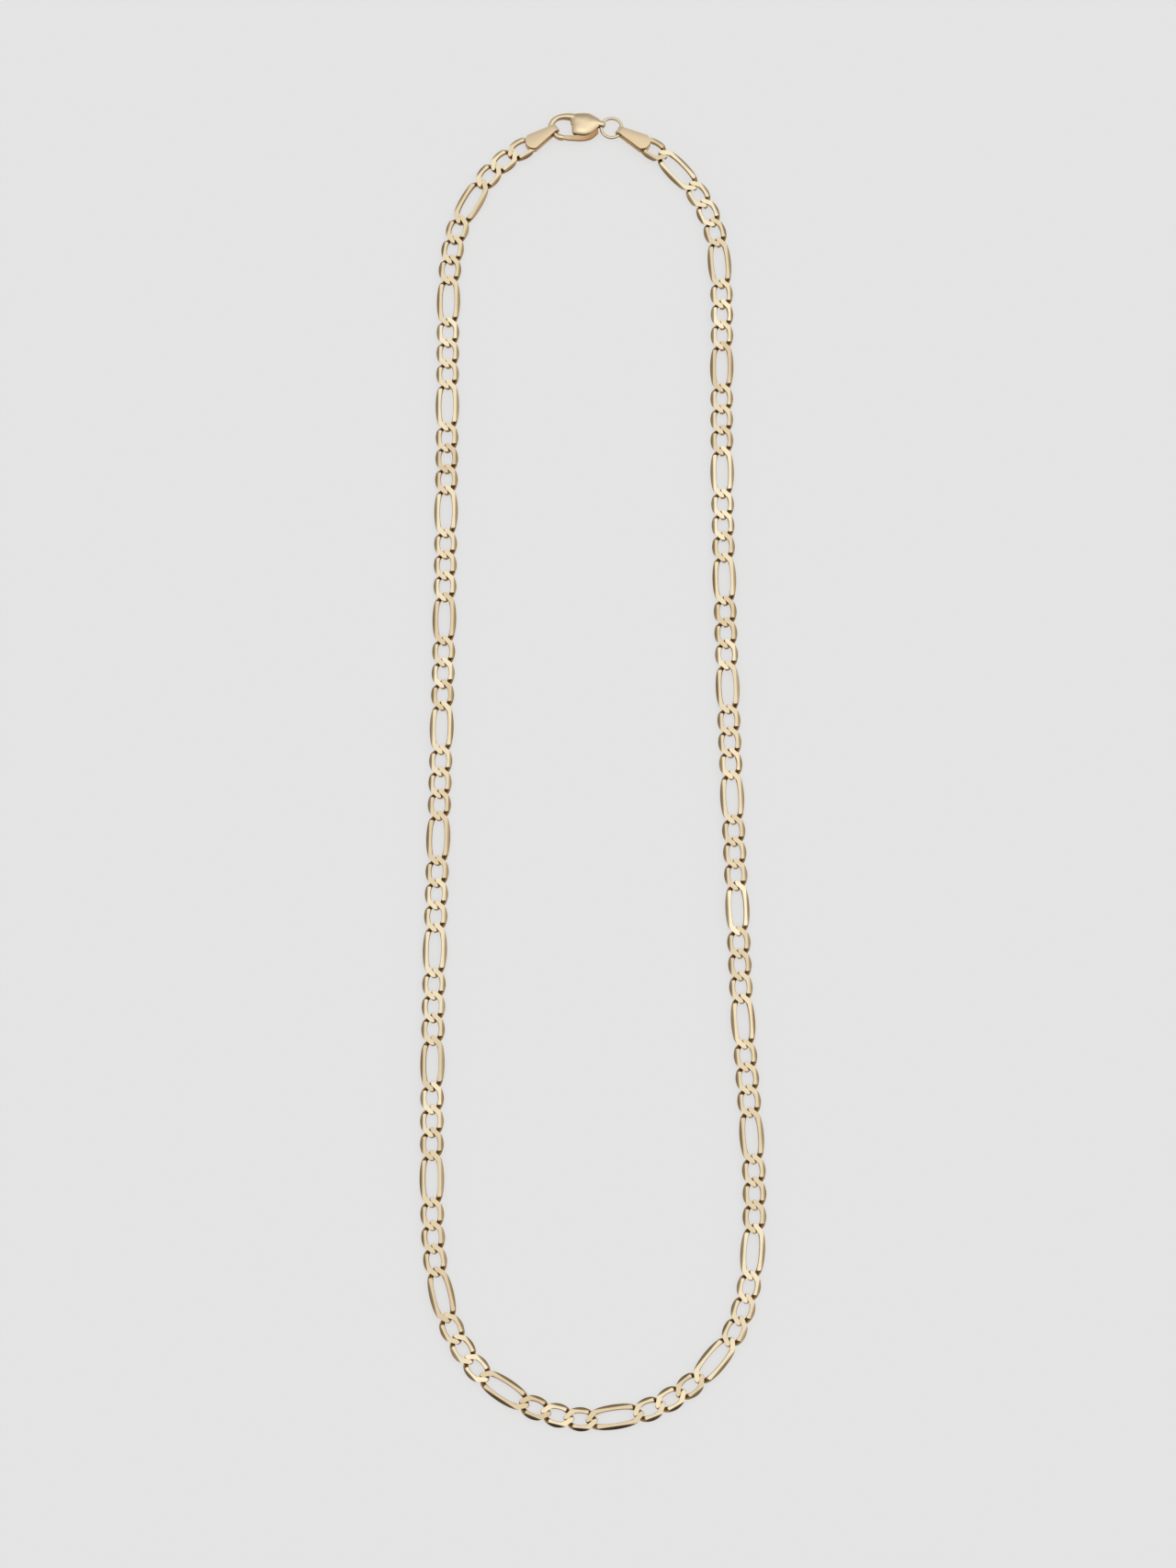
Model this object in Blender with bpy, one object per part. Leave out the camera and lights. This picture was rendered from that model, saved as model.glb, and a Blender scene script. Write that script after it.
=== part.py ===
"""Figaro neck chain, fastened and lying flat as one closed loop: 101 links, two end tags, a jump ring and a clasp.

Metres, +Z up. The loop lies in the XY plane with the clasp at +Y, and rests on Z = 0.
"""

import bmesh
import bpy
from math import atan2, cos, hypot, pi, radians, sin
from mathutils import Matrix, Vector

MM = 0.001

# The loop as it lies: how wide and how long its route is
LOOP_WIDTH = 53.20 * MM
LOOP_LENGTH = 226.00 * MM

# Links: outer lengths and widths. A link is wire bent to an oval, twisted about its long axis and cut flat
SMALL_LINK_LENGTH = 5.53 * MM
SMALL_LINK_WIDTH = 3.96 * MM
LONG_LINK_LENGTH = 9.46 * MM
LONG_LINK_WIDTH = 4.10 * MM
WIRE_WIDTH = 0.88 * MM
WIRE_HEIGHT = 1.15 * MM
WIRE_SIDES = 6
CHAIN_THICKNESS = 1.00 * MM
LINK_TWIST = radians(90)
SMALL_LINKS_IN_A_ROW = 3
LINK_BITE = 0.07 * MM  # how deep neighbouring links are fused into each other
MEETING_GAP = 0.15 * MM  # what keeps the two fused chains clear of each other where they meet

# Half of one end of a link's middle line: a blunt tip and a shoulder, as shares of half the bend's width
LINK_END = [(0.30, -0.985), (1.00, -0.47), (1.00, 0.47), (0.30, 0.985)]
ARM_STEP = 1.40 * MM  # about how far apart the points along a link's arm are

# Clasp: the body's dome, the hook's round bar, the lever in its slot, and the eye at the tail
CLASP_SHARE = (-0.109, 0.9973)  # the clasp's middle, as shares of half the loop's width and length
CLASP_THICKNESS = 2.00 * MM
DOME_RADIUS = 2.08 * MM
DOME_SHIFT = Vector((1.50, 0.65)) * MM  # from the clasp's middle to the dome's
HOOK_THICKNESS = 1.04 * MM
HOOK_REACH = 4.50 * MM
HOOK_RISE = 2.20 * MM
EYE_PLACE = Vector((4.50, 0.60)) * MM
EYE_BORE = 0.84 * MM
EYE_WALL = 0.26 * MM
EYE_LENGTH = 0.90 * MM
SLOT_WIDTH = 0.84 * MM
SLOT_TOP = 0.60 * MM
SLOT_ENDS = (-1.60 * MM, 4.10 * MM)
SLOT_SLANT = Vector((0.90, 0.75)) * MM  # how much of the slot's corner is left solid beside the eye
LEVER_THICKNESS = 0.68 * MM
LEVER_REACH = 4.97 * MM
LEVER_DEPTH = 2.32 * MM
PIVOT = Vector((2.85, -0.15)) * MM
RIVET_DIAMETER = 0.60 * MM
RIVET_LENGTH = 1.56 * MM
CLEARANCE = 0.05 * MM

# Jump ring
RING_DIAMETER = 4.20 * MM
RING_WIRE = 0.55 * MM
RING_TURN = radians(-21)  # the way from the eye to the ring's middle
RING_SIDES = 14
RING_WIRE_SIDES = 6

# End tags: a strip folded over, a teardrop from above, held shut by a post through the chain's end link
TAG_REACH = 4.95 * MM  # from the middle of the fold to the post
TAG_WIDTH = 2.85 * MM
TAG_NECK_WIDTH = 1.30 * MM
TAG_PLATE = 0.30 * MM
TAG_GAP = 1.30 * MM
TAG_ROOM = 0.25 * MM  # between the fold and the bar or wire it holds, which bends away across the fold
TAG_END = 0.60 * MM  # from the post's middle to the round end
POST_DIAMETER = 0.60 * MM
LEFT_TAG_TURN = radians(214)
RIGHT_TAG_TURN = radians(-29.5)
HOOK_GRIP = Vector((-4.17, -0.57)) * MM  # where the left tag's fold holds the hook, from the clasp's middle
RING_GRIP_TURN = radians(-24)  # where the right tag's fold holds the ring, round the ring's middle

LIFT_LENGTH = 14.0 * MM  # the chain rises to the tags' middle over this stretch at each end

# The chain's way round, from the left tag to the right one, as shares of half the loop's width and length
ROUTE = [
    (-0.549, 0.949), (-0.684, 0.919), (-0.801, 0.877), (-0.891, 0.830), (-0.936, 0.764),
    (-0.944, 0.714), (-0.944, 0.541), (-0.947, 0.369), (-0.951, 0.197), (-0.962, 0.025),
    (-0.977, -0.146), (-0.992, -0.317), (-1.000, -0.489), (-0.996, -0.658), (-0.985, -0.744),
    (-0.936, -0.827), (-0.861, -0.877), (-0.707, -0.934), (-0.538, -0.965), (-0.338, -0.990),
    (-0.071, -1.005), (0.143, -1.002), (0.353, -0.990), (0.594, -0.957), (0.756, -0.919),
    (0.876, -0.877), (0.962, -0.811), (0.989, -0.758), (1.000, -0.672), (0.985, -0.587),
    (0.936, -0.415), (0.910, -0.247), (0.883, -0.075), (0.861, 0.096), (0.846, 0.266),
    (0.838, 0.437), (0.842, 0.606), (0.846, 0.690), (0.835, 0.777), (0.805, 0.827),
    (0.695, 0.888), (0.564, 0.929), (0.474, 0.949),
]
ROUTE_STEPS = 24

# The dome seen from above: its reach in 16 even directions from +X anticlockwise, as shares of DOME_RADIUS
DOME_OUTLINE = (1.36, 1.15, 1.06, 1.06, 1.02, 1.10, 1.32, 1.39, 1.16, 1.19, 1.38, 1.12, 1.00, 0.99, 1.03, 1.16)
DOME_RINGS = 8
DOME_FULLNESS = 3.0

# The hook's bar: place as shares of HOOK_REACH and HOOK_RISE, and thickness as a share of HOOK_THICKNESS
HOOK_BAR = [
    (0.13, 0.86, 1.10), (-0.20, 1.00, 1.08), (-0.47, 0.99, 0.98), (-0.63, 0.92, 0.92), (-0.80, 0.78, 0.90),
    (-0.93, 0.52, 0.88), (-1.00, 0.16, 0.86), (-0.98, -0.07, 0.86), (-0.92, -0.28, 0.86), (-0.84, -0.55, 0.88),
    (-0.73, -0.75, 1.02), (-0.61, -0.84, 1.12), (-0.505, -0.87, 1.02),
]

# The lever from above, as shares of LEVER_REACH and LEVER_DEPTH from the pivot
LEVER_OUTLINE = [
    (-0.97, -0.88), (-0.71, -0.96), (-0.41, -1.00), (-0.07, -0.88), (0.145, -0.52), (0.22, -0.30),
    (0.15, 0.09), (0.05, 0.215), (-0.05, 0.215), (-0.13, 0.02), (-0.27, -0.37), (-0.50, -0.58),
    (-0.77, -0.625), (-1.00, -0.64),
]


def remove_everything():
    for thing in list(bpy.data.objects):
        bpy.data.objects.remove(thing, do_unlink=True)


def new_collection(name):
    collection = bpy.data.collections.new(name)
    bpy.context.scene.collection.children.link(collection)
    return collection


def gold(name, colour, roughness):
    """One yellow metal finish."""
    material = bpy.data.materials.new(name)
    material.use_nodes = True
    surface = material.node_tree.nodes["Principled BSDF"]
    surface.inputs["Base Color"].default_value = (*colour, 1.0)
    surface.inputs["Metallic"].default_value = 1.0
    surface.inputs["Roughness"].default_value = roughness
    return material


def new_object(name, mesh, collection):
    thing = bpy.data.objects.new(name, mesh)
    collection.objects.link(thing)
    return thing


def take_active(name, collection):
    """Names the primitive just added and moves it to a collection."""
    thing = bpy.context.active_object
    thing.name = name
    thing.data.name = name
    for old in list(thing.users_collection):
        old.objects.unlink(thing)
    collection.objects.link(thing)
    return thing


def make_guide(thing):
    thing.hide_render = True
    thing.display_type = "WIRE"


def settled_mesh(thing, name):
    """The mesh that an object's curve and modifiers give, with its caps welded."""
    bpy.context.view_layer.update()
    seen = thing.evaluated_get(bpy.context.evaluated_depsgraph_get())
    mesh = bpy.data.meshes.new_from_object(seen)
    mesh.name = name
    shape = bmesh.new()
    shape.from_mesh(mesh)
    bmesh.ops.remove_doubles(shape, verts=shape.verts, dist=0.0005 * MM)
    bmesh.ops.recalc_face_normals(shape, faces=shape.faces)
    shape.to_mesh(mesh)
    shape.free()
    return mesh


def combine(thing, others, operation):
    """Adds Boolean modifiers and settles them, so that the object holds its final mesh."""
    for other in others:
        change = thing.modifiers.new(other.name, "BOOLEAN")
        change.operation = operation
        change.solver = "EXACT"
        change.object = other
    mesh = settled_mesh(thing, thing.name)
    thing.modifiers.clear()
    old = thing.data
    thing.data = mesh
    bpy.data.meshes.remove(old)


def finish(thing, material):
    thing.data.materials.clear()
    thing.data.materials.append(material)
    thing.data.shade_smooth()
    thing.data.set_sharp_from_angle(angle=radians(35))


def flat_outline(name, points, half_thickness, collection):
    """A plate with this outline, from a filled 2D curve."""
    curve = bpy.data.curves.new(name, "CURVE")
    curve.dimensions = "2D"
    curve.fill_mode = "BOTH"
    curve.extrude = half_thickness
    spline = curve.splines.new("POLY")
    spline.points.add(len(points) - 1)
    for point, (x, y) in zip(spline.points, points):
        point.co = (x, y, 0.0, 1.0)
    spline.use_cyclic_u = True
    guide = new_object(name + "_curve", curve, collection)
    plate = new_object(name, settled_mesh(guide, name), collection)
    bpy.data.objects.remove(guide, do_unlink=True)
    return plate


def round_bar(name, points, thickness, sides, collection):
    """A bar of round section through points (x, y, share of the thickness), with filled caps."""
    curve = bpy.data.curves.new(name, "CURVE")
    curve.dimensions = "3D"
    curve.bevel_depth = thickness / 2
    curve.bevel_resolution = sides // 2 - 2
    curve.use_fill_caps = True
    spline = curve.splines.new("POLY")
    spline.points.add(len(points) - 1)
    for point, (x, y, share) in zip(spline.points, points):
        point.co = (x, y, 0.0, 1.0)
        point.radius = share
    guide = new_object(name + "_curve", curve, collection)
    bar = new_object(name, settled_mesh(guide, name), collection)
    bpy.data.objects.remove(guide, do_unlink=True)
    return bar


def cylinder(name, diameter, length, sides, place, along, collection):
    """A cylinder with its middle at place and its axis along a direction."""
    bpy.ops.mesh.primitive_cylinder_add(vertices=sides, radius=diameter / 2, depth=length)
    thing = take_active(name, collection)
    turn = Vector((0, 0, 1)).rotation_difference(Vector(along)).to_matrix().to_4x4()
    thing.data.transform(Matrix.Translation(place) @ turn)
    return thing


def link_middle_line(length, width):
    """The closed line that a link's wire follows before its twist: two bends joined by straight arms."""
    bend = (width - WIRE_WIDTH) / 2
    straight = (length - WIRE_WIDTH) / 2 - bend
    arm_points = max(1, round(straight / ARM_STEP))
    half = [Vector((straight + x * bend, y * bend)) for x, y in LINK_END]
    for step in range(1, arm_points + 1):
        half.append(Vector((straight * (1 - 2 * step / (arm_points + 1)), bend)))
    return half + [-point for point in half]


def mitre_directions(line):
    """For each corner of a closed line, the way out that keeps the wire's width along both its sides."""
    ways = []
    for before, at, after in zip(line[-1:] + line[:-1], line, line[1:] + line[:1]):
        arriving = (at - before).normalized()
        leaving = (after - at).normalized()
        outwards = Vector((arriving.y, -arriving.x))
        both = (outwards + Vector((leaving.y, -leaving.x))).normalized()
        ways.append(both / both.dot(outwards))
    return ways


def link_mesh(name, length, width):
    """One link, its length along X, twisted about X and cut flat above and below."""
    line = link_middle_line(length, width)
    ways_out = mitre_directions(line)
    bpy.ops.mesh.primitive_torus_add(
        major_segments=len(line), minor_segments=WIRE_SIDES, major_radius=1.0, minor_radius=0.5
    )
    torus = bpy.context.active_object
    mesh = torus.data
    mesh.name = name
    turn_per_metre = LINK_TWIST / (length - WIRE_WIDTH)
    for corner in mesh.vertices:
        x, y, z = corner.co
        station = round(atan2(y, x) / (2 * pi) * len(line)) % len(line)
        along, across = line[station] + ways_out[station] * (hypot(x, y) - 1.0) * WIRE_WIDTH
        up = z * WIRE_HEIGHT
        turn = -turn_per_metre * along
        height = across * sin(turn) + up * cos(turn)
        across = across * cos(turn) - up * sin(turn)
        height = max(-CHAIN_THICKNESS / 2, min(CHAIN_THICKNESS / 2, height))
        corner.co = (along, across, height)
    bpy.data.objects.remove(torus, do_unlink=True)
    return mesh


def smooth_curve(points):
    """A dense line through the points, with a tangent that turns evenly at each."""
    ends = [points[0] * 2 - points[1], *points, points[-1] * 2 - points[-2]]
    line = []
    for before, start, end, after in zip(ends, ends[1:], ends[2:], ends[3:]):
        for step in range(ROUTE_STEPS):
            line.append(catmull_rom(before, start, end, after, step / ROUTE_STEPS))
    line.append(points[-1])
    return line


def catmull_rom(before, start, end, after, share):
    """A point between start and end of a centripetal Catmull-Rom curve."""
    knots = [0.0]
    for one, two in ((before, start), (start, end), (end, after)):
        knots.append(knots[-1] + (two - one).length ** 0.5)
    at = knots[1] + (knots[2] - knots[1]) * share
    corners = [before, start, end, after]
    for level in range(1, 4):
        corners = [
            corners[i] * ((knots[i + level] - at) / (knots[i + level] - knots[i]))
            + corners[i + 1] * ((at - knots[i]) / (knots[i + level] - knots[i]))
            for i in range(len(corners) - 1)
        ]
    return corners[0]


def place_on(line, reach):
    """The point at this distance along a line."""
    for start, end in zip(line, line[1:]):
        step = (end - start).length
        if reach <= step:
            return start.lerp(end, reach / step)
        reach -= step
    return line[-1].copy()


def lift(reach, whole):
    """How high the chain's middle is at this distance along it."""
    share = max(0.0, 1.0 - min(reach, whole - reach) / LIFT_LENGTH)
    rise = share * share * (3.0 - 2.0 * share)
    low = CHAIN_THICKNESS / 2
    return low + (CLASP_THICKNESS / 2 - low) * rise


def lay_links(route):
    """Gives each link's kind and place. The joints lie on the route, a link spans two joints, and all links are
    stretched by the same small share, so that a whole number of them closes the loop."""
    line = smooth_curve(route)
    whole = sum((end - start).length for start, end in zip(line, line[1:]))
    pitch = {
        "small": SMALL_LINK_LENGTH - 2 * WIRE_WIDTH + LINK_BITE,
        "long": LONG_LINK_LENGTH - 2 * WIRE_WIDTH + LINK_BITE,
    }
    kinds = []
    reach = 0.0
    while True:
        kind = "long" if len(kinds) % (SMALL_LINKS_IN_A_ROW + 1) == SMALL_LINKS_IN_A_ROW else "small"
        if reach + pitch[kind] / 2 > whole:
            break
        kinds.append(kind)
        reach += pitch[kind]
    slack = LINK_BITE + MEETING_GAP
    stretch = (whole + slack) / reach
    half = (len(kinds) + 1) // 2
    places = []
    reach = 0.0
    for number, kind in enumerate(kinds):
        if number == half:
            reach -= slack
        ends = []
        for far in (reach, reach + pitch[kind] * stretch):
            flat = place_on(line, far)
            ends.append(Vector((flat.x, flat.y, lift(far, whole))))
        reach += pitch[kind] * stretch
        along = (ends[1] - ends[0]).normalized()
        across = Vector((0, 0, 1)).cross(along).normalized()
        turn = Matrix((along, across, along.cross(across))).transposed().to_4x4()
        middle = (ends[0] + ends[1]) / 2
        middle.z += WIRE_WIDTH * abs(along.z)  # keeps the low tip of a sloping link off the ground
        places.append((kind, Matrix.Translation(middle) @ turn @ Matrix.Diagonal((stretch, 1.0, 1.0, 1.0))))
    return places[:half], places[half:]


def fused_chain(name, places, link_meshes, collection, guides, material):
    """Every other link goes in each of two sets, whose links don't touch, and the sets are fused."""
    sets = []
    for first in (0, 1):
        shape = bmesh.new()
        for kind, place in places[first::2]:
            copy = link_meshes[kind].copy()
            copy.transform(place)
            shape.from_mesh(copy)
            bpy.data.meshes.remove(copy)
        mesh = bpy.data.meshes.new(f"{name}_{first}")
        shape.to_mesh(mesh)
        shape.free()
        sets.append(mesh)
    chain = new_object(name, sets[0], collection)
    others = new_object(name + "_others", sets[1], guides)
    make_guide(others)
    combine(chain, [others], "UNION")
    bpy.data.objects.remove(others, do_unlink=True)
    finish(chain, material)
    return chain


def end_tag(name, fold_place, turn, collection, guides, material):
    """A folded strip, cut to a teardrop, with its post. Its length runs from the fold along the turn."""
    outer = TAG_GAP / 2 + TAG_PLATE
    inner = TAG_GAP / 2
    end = TAG_REACH + TAG_END
    steps = 8
    bend = [pi / 2 + pi * i / steps for i in range(steps + 1)]
    profile = [(end, outer)] + [(outer * cos(a), outer * sin(a)) for a in bend] + [(end, -outer), (end, -inner)]
    profile += [(inner * cos(a), inner * sin(a)) for a in reversed(bend)] + [(end, inner)]
    strip = flat_outline(name, profile, TAG_WIDTH, collection)
    strip.data.transform(Matrix.Rotation(pi / 2, 4, "X"))

    head = TAG_WIDTH / 2
    middle = end - head
    neck = TAG_NECK_WIDTH / 2
    round_end = [pi * 0.44 - pi * 0.88 * i / 10 for i in range(11)]
    outline = [(-2 * outer, neck), (0.0, neck)]
    outline += [(middle + head * cos(a), head * sin(a)) for a in round_end]
    outline += [(0.0, -neck), (-2 * outer, -neck)]
    teardrop = flat_outline(name + "_teardrop", outline, 2 * outer, guides)
    make_guide(teardrop)
    combine(strip, [teardrop], "INTERSECT")
    bpy.data.objects.remove(teardrop, do_unlink=True)

    post_place = Vector((TAG_REACH, 0, 0))
    post_length = TAG_GAP + TAG_PLATE
    post = cylinder(name + "_post", POST_DIAMETER, post_length, 10, post_place, (0, 0, 1), guides)
    combine(strip, [post], "UNION")
    bpy.data.objects.remove(post, do_unlink=True)

    place = Vector((fold_place.x, fold_place.y, CLASP_THICKNESS / 2))
    strip.data.transform(Matrix.Translation(place) @ Matrix.Rotation(turn, 4, "Z"))
    finish(strip, material)
    return strip


def dome_mesh(name, collection):
    """The clasp's body without its hook: a sphere drawn out to the outline, and flattened like a pebble."""
    directions = len(DOME_OUTLINE)
    bpy.ops.mesh.primitive_uv_sphere_add(segments=directions, ring_count=DOME_RINGS, radius=1.0)
    dome = take_active(name, collection)
    for corner in dome.data.vertices:
        x, y, z = corner.co
        place = atan2(y, x) / (2 * pi) * directions
        reach = DOME_OUTLINE[round(place) % directions] * DOME_RADIUS
        full = (hypot(x, y) ** DOME_FULLNESS + abs(z) ** DOME_FULLNESS) ** (1 / DOME_FULLNESS)
        corner.co = (
            DOME_SHIFT.x + x / full * reach,
            DOME_SHIFT.y + y / full * reach,
            z / full * CLASP_THICKNESS / 2,
        )
    return dome


def clasp_body(collection, guides, material):
    """Dome, hook and eye in one, then the lever's slot, the rivet's hole and the eye's bore."""
    body = dome_mesh("clasp_body", collection)
    bar = [(x * HOOK_REACH, y * HOOK_RISE, share) for x, y, share in HOOK_BAR]
    hook = round_bar("hook", bar, HOOK_THICKNESS, 8, guides)
    eye_place = Vector((EYE_PLACE.x, EYE_PLACE.y, 0))
    eye_diameter = EYE_BORE + 2 * EYE_WALL
    through = (-sin(RING_TURN), cos(RING_TURN), 0)
    eye = cylinder("eye", eye_diameter, EYE_LENGTH, 12, eye_place, through, guides)
    combine(body, [hook, eye], "UNION")

    left, right = SLOT_ENDS
    below = -2 * CLASP_THICKNESS
    slot_outline = [(left, SLOT_TOP), (left, below), (right, below)]
    slot_outline += [(right, SLOT_TOP - SLOT_SLANT.y), (right - SLOT_SLANT.x, SLOT_TOP)]
    slot = flat_outline("slot", slot_outline, SLOT_WIDTH / 2, guides)
    pivot = Vector((PIVOT.x, PIVOT.y, 0))
    hole = cylinder("hole", RIVET_DIAMETER + 2 * CLEARANCE, 2 * CLASP_THICKNESS, 12, pivot, (0, 0, 1), guides)
    bore = cylinder("bore", EYE_BORE, 4 * EYE_LENGTH, 12, eye_place, through, guides)
    combine(body, [slot, hole, bore], "DIFFERENCE")
    for guide in (hook, eye, slot, hole, bore):
        bpy.data.objects.remove(guide, do_unlink=True)
    finish(body, material)
    return body


def clasp_lever(collection, guides, material):
    outline = [(x * LEVER_REACH, y * LEVER_DEPTH) for x, y in LEVER_OUTLINE]
    lever = flat_outline("clasp_lever", outline, LEVER_THICKNESS / 2, collection)
    hole_size = RIVET_DIAMETER + 2 * CLEARANCE
    hole = cylinder("lever_hole", hole_size, 2 * LEVER_THICKNESS, 12, Vector((0, 0, 0)), (0, 0, 1), guides)
    combine(lever, [hole], "DIFFERENCE")
    bpy.data.objects.remove(hole, do_unlink=True)
    finish(lever, material)
    return lever


def jump_ring(middle, collection, material):
    bpy.ops.mesh.primitive_torus_add(
        major_segments=RING_SIDES,
        minor_segments=RING_WIRE_SIDES,
        major_radius=(RING_DIAMETER - RING_WIRE) / 2,
        minor_radius=RING_WIRE / 2,
    )
    ring = take_active("jump_ring", collection)
    ring.location = middle
    finish(ring, material)
    return ring


def towards(angle):
    return Vector((cos(angle), sin(angle)))


def on_loop(share):
    return Vector((share[0] * LOOP_WIDTH / 2, share[1] * LOOP_LENGTH / 2))


def build():
    remove_everything()
    collection = new_collection("Figaro chain")
    guides = new_collection("Cutters")
    clasp_height = CLASP_THICKNESS / 2
    clasp_place = on_loop(CLASP_SHARE)

    # Clasp: the root of the group's places
    body = clasp_body(collection, guides, gold("clasp_gold", (0.83, 0.66, 0.42), 0.28))
    body.location = (clasp_place.x, clasp_place.y, clasp_height)
    pivot = clasp_place + PIVOT
    lever = clasp_lever(collection, guides, gold("lever_gold", (0.80, 0.62, 0.38), 0.30))
    lever.location = (pivot.x, pivot.y, clasp_height)
    rivet_place = Vector((pivot.x, pivot.y, clasp_height))
    rivet = cylinder("clasp_rivet", RIVET_DIAMETER, RIVET_LENGTH, 12, rivet_place, (0, 0, 1), collection)
    finish(rivet, gold("rivet_gold", (0.80, 0.62, 0.38), 0.30))

    # Jump ring: its wire bears on the far side of the eye's bore
    ring_radius = (RING_DIAMETER - RING_WIRE) / 2
    play = (EYE_BORE - RING_WIRE) / 2 - 2 * CLEARANCE
    ring_place = clasp_place + EYE_PLACE + towards(RING_TURN) * (play + ring_radius)
    jump_ring((ring_place.x, ring_place.y, clasp_height), collection, gold("ring_gold", (0.83, 0.66, 0.42), 0.18))

    # End tags: each fold bears on the bar or wire inside it
    fold_inside = TAG_GAP / 2
    hook_grip = clasp_place + HOOK_GRIP
    left_fold = hook_grip + towards(LEFT_TAG_TURN) * (fold_inside - HOOK_THICKNESS / 2 - TAG_ROOM)
    ring_grip = ring_place + towards(RING_GRIP_TURN) * ring_radius
    right_fold = ring_grip + towards(RIGHT_TAG_TURN) * (fold_inside - RING_WIRE / 2 - TAG_ROOM)
    satin = gold("tag_gold", (0.78, 0.62, 0.42), 0.38)
    end_tag("end_tag_left", left_fold, LEFT_TAG_TURN, collection, guides, satin)
    end_tag("end_tag_right", right_fold, RIGHT_TAG_TURN, collection, guides, satin)

    # Chain: its end links bear on the tags' posts
    end_play = TAG_REACH - POST_DIAMETER / 2 - CLEARANCE
    start = left_fold + towards(LEFT_TAG_TURN) * end_play
    end = right_fold + towards(RIGHT_TAG_TURN) * end_play
    route = [start] + [on_loop(share) for share in ROUTE] + [end]
    link_meshes = {
        "small": link_mesh("small_link", SMALL_LINK_LENGTH, SMALL_LINK_WIDTH),
        "long": link_mesh("long_link", LONG_LINK_LENGTH, LONG_LINK_WIDTH),
    }
    left, right = lay_links(route)
    cut_gold = gold("chain_gold", (0.86, 0.70, 0.45), 0.16)
    fused_chain("chain_left", left, link_meshes, collection, guides, cut_gold)
    fused_chain("chain_right", right, link_meshes, collection, guides, cut_gold)


build()
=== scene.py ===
"""Looks of the figaro neck chain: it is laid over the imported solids, in metres, with the clasp at +Y."""

import random
from math import atan2, cos, hypot, pi, radians, sin

import bpy
from mathutils import Matrix, Vector


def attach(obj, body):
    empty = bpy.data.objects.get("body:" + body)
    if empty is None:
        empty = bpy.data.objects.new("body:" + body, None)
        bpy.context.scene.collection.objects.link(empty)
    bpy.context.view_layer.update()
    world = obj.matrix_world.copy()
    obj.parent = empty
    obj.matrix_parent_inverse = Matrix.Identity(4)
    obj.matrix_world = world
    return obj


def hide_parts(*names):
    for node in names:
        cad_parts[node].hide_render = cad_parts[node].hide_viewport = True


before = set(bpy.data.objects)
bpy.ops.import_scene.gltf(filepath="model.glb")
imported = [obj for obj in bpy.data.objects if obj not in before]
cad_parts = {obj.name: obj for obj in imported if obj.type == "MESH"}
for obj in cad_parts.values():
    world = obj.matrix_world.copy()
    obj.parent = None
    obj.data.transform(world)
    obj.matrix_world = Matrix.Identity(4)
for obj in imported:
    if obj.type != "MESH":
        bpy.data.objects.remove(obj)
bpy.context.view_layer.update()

# Camera: a long lens far above the chain, tilted 15 degrees off the vertical towards the bottom of the loop.
# The picture is 1280 x 1706, and its long side spans the sensor.
MM = 0.001
camera_tilt = radians(15)
camera_distance = 0.7052
looked_at = Vector((-0.80, -6.92, 1.0)) * MM

camera_data = bpy.data.cameras.new("camera")
camera_data.sensor_width = 36.0
camera_data.lens = 96.01
camera_data.clip_start = 0.01
camera = bpy.data.objects.new("camera", camera_data)
bpy.context.scene.collection.objects.link(camera)
camera.location = looked_at + Vector((0.0, -sin(camera_tilt), cos(camera_tilt))) * camera_distance
camera.rotation_euler = (camera_tilt, 0.0, 0.0)
bpy.context.scene.camera = camera
bpy.context.scene.view_settings.view_transform = "Standard"


# Studio: a sheet of pale paper in a soft room of light, with a wide lamp overhead, clouded walls that dim to
# the north and the ground, and a dark front, where the photographer stands. Seen directly, the room is as
# pale as the paper.
class Socket:
    """A shader socket. Arithmetic on it adds the Math nodes that work the sum out."""

    def __init__(self, tree, socket=None):
        self.tree = tree
        self.socket = socket

    def node(self, kind, settings, inputs, output=0):
        """Adds a node with these settings and socket values or links, and gives one of its outputs."""
        node = self.tree.nodes.new(kind)
        for name, value in settings.items():
            if name == "stops":
                stops = node.color_ramp.elements
                for number in (0, -1):
                    stops[number].position = value[number][0]
                    stops[number].color = (*value[number][1], 1.0)
                for place, colour in value[1:-1]:
                    stops.new(place).color = (*colour, 1.0)
            else:
                setattr(node, name, value)
        for name, value in inputs.items():
            if isinstance(value, Socket):
                self.tree.links.new(value.socket, node.inputs[name])
            else:
                node.inputs[name].default_value = value
        return Socket(self.tree, node.outputs[output])

    def maths(self, operation, *values):
        return self.node("ShaderNodeMath", {"operation": operation}, dict(enumerate(values)))

    def __add__(self, other):
        return self.maths("ADD", self, other)

    def __radd__(self, other):
        return self.maths("ADD", other, self)

    def __sub__(self, other):
        return self.maths("SUBTRACT", self, other)

    def __rsub__(self, other):
        return self.maths("SUBTRACT", other, self)

    def __mul__(self, other):
        return self.maths("MULTIPLY", self, other)

    def __rmul__(self, other):
        return self.maths("MULTIPLY", other, self)

    def __abs__(self):
        return self.maths("ABSOLUTE", self)


def eased(value, low, high, at_low, at_high):
    """Turns a value that runs from low to high into one that runs softly from at_low to at_high."""
    return value.node(
        "ShaderNodeMapRange",
        {"interpolation_type": "SMOOTHSTEP"},
        {"Value": value, "From Min": low, "From Max": high, "To Min": at_low, "To Max": at_high},
    )


def named(name):
    """Names the object that was made last, and its mesh."""
    thing = bpy.context.active_object
    thing.name = name
    thing.data.name = name
    return thing


def added(primitive, name, **settings):
    """Adds a primitive with nothing else selected, and names it."""
    bpy.ops.object.select_all(action="DESELECT")
    primitive(**settings)
    return named(name)


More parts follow.
